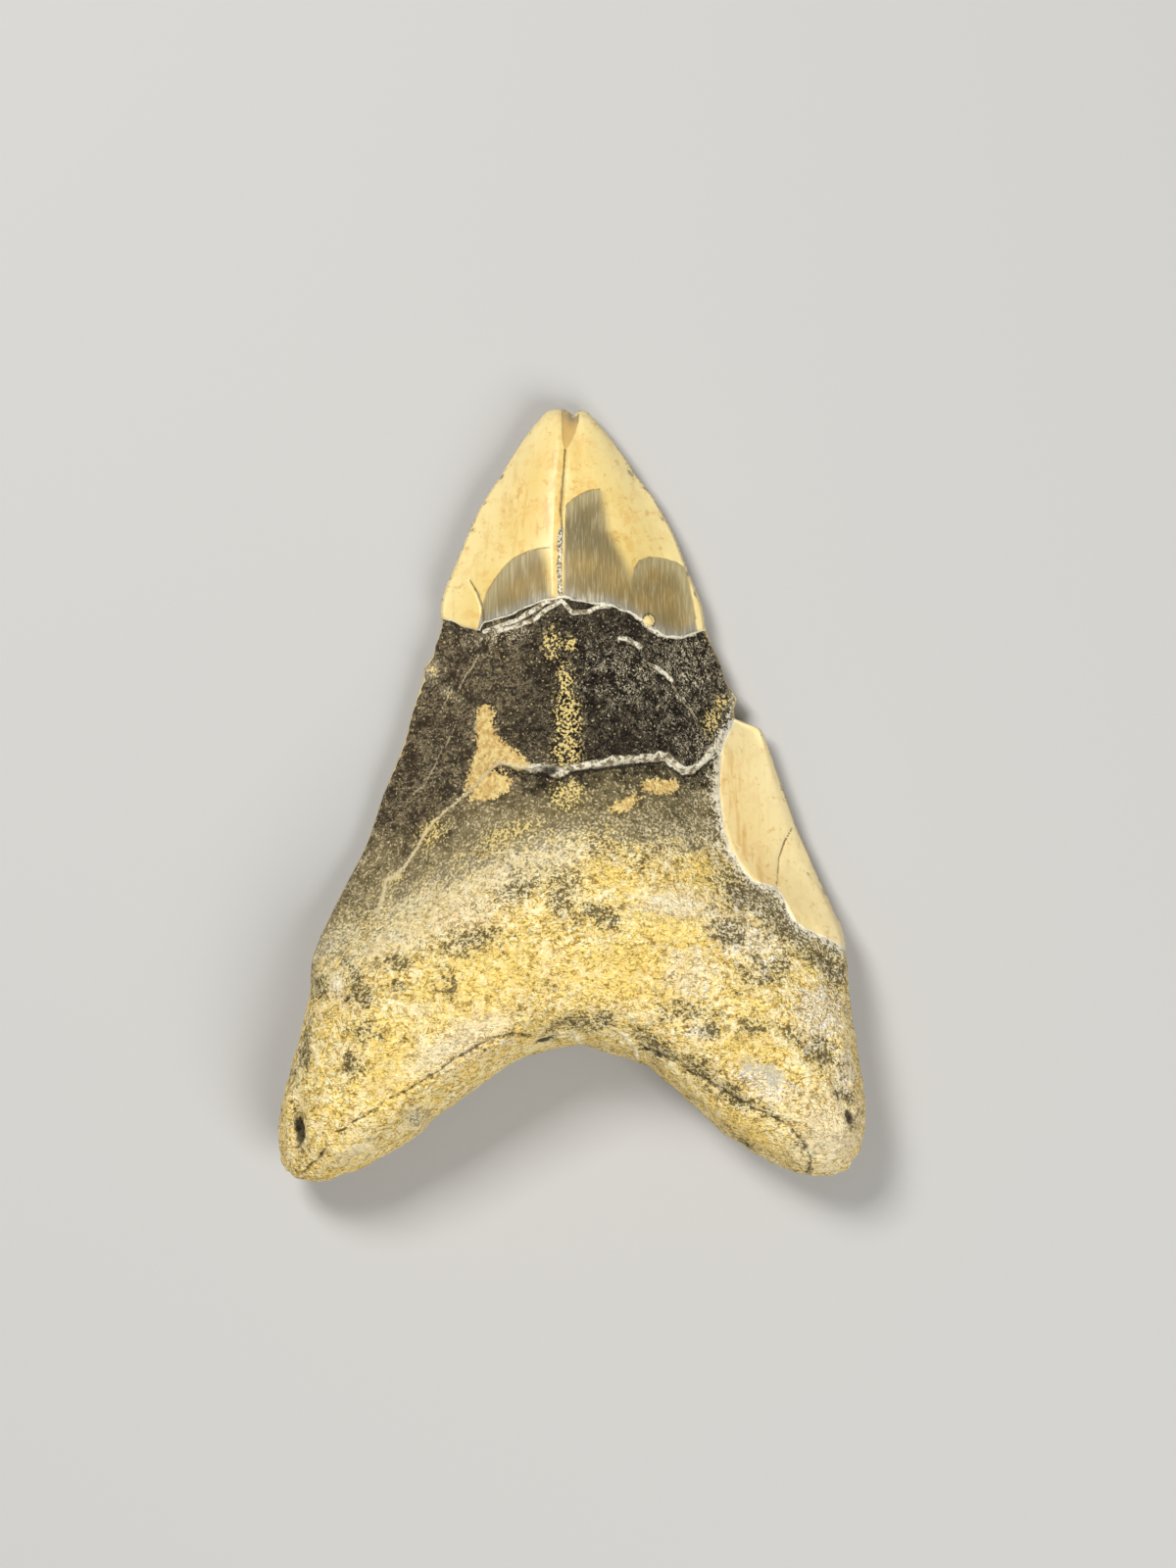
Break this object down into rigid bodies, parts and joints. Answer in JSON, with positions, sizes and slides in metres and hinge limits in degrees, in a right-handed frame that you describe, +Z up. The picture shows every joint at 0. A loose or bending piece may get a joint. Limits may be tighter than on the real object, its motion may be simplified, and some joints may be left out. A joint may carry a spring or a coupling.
{
  "type": "megalodon tooth",
  "caption": "Large triangular fossil shark tooth with a flaked enamel cap over the tip, bare dentine, a leaf of enamel at one edge and an arched, two-lobed root.",
  "frame": {"origin": "on the surface that the labial face lies on, under the middle of the bounding box", "axes": "+Y from the root to the tip, +Z up out of the domed lingual face, +X to the right as that face is seen with the tip up"},
  "size_m": [0.0916, 0.1208, 0.0264],
  "materials": {
    "fossil": "satin cream enamel where it is left, rough dark brown dentine and a rough ochre root"
  },
  "bodies": {
    "root": {"tooth": "fossil"}
  },
  "joints": []
}
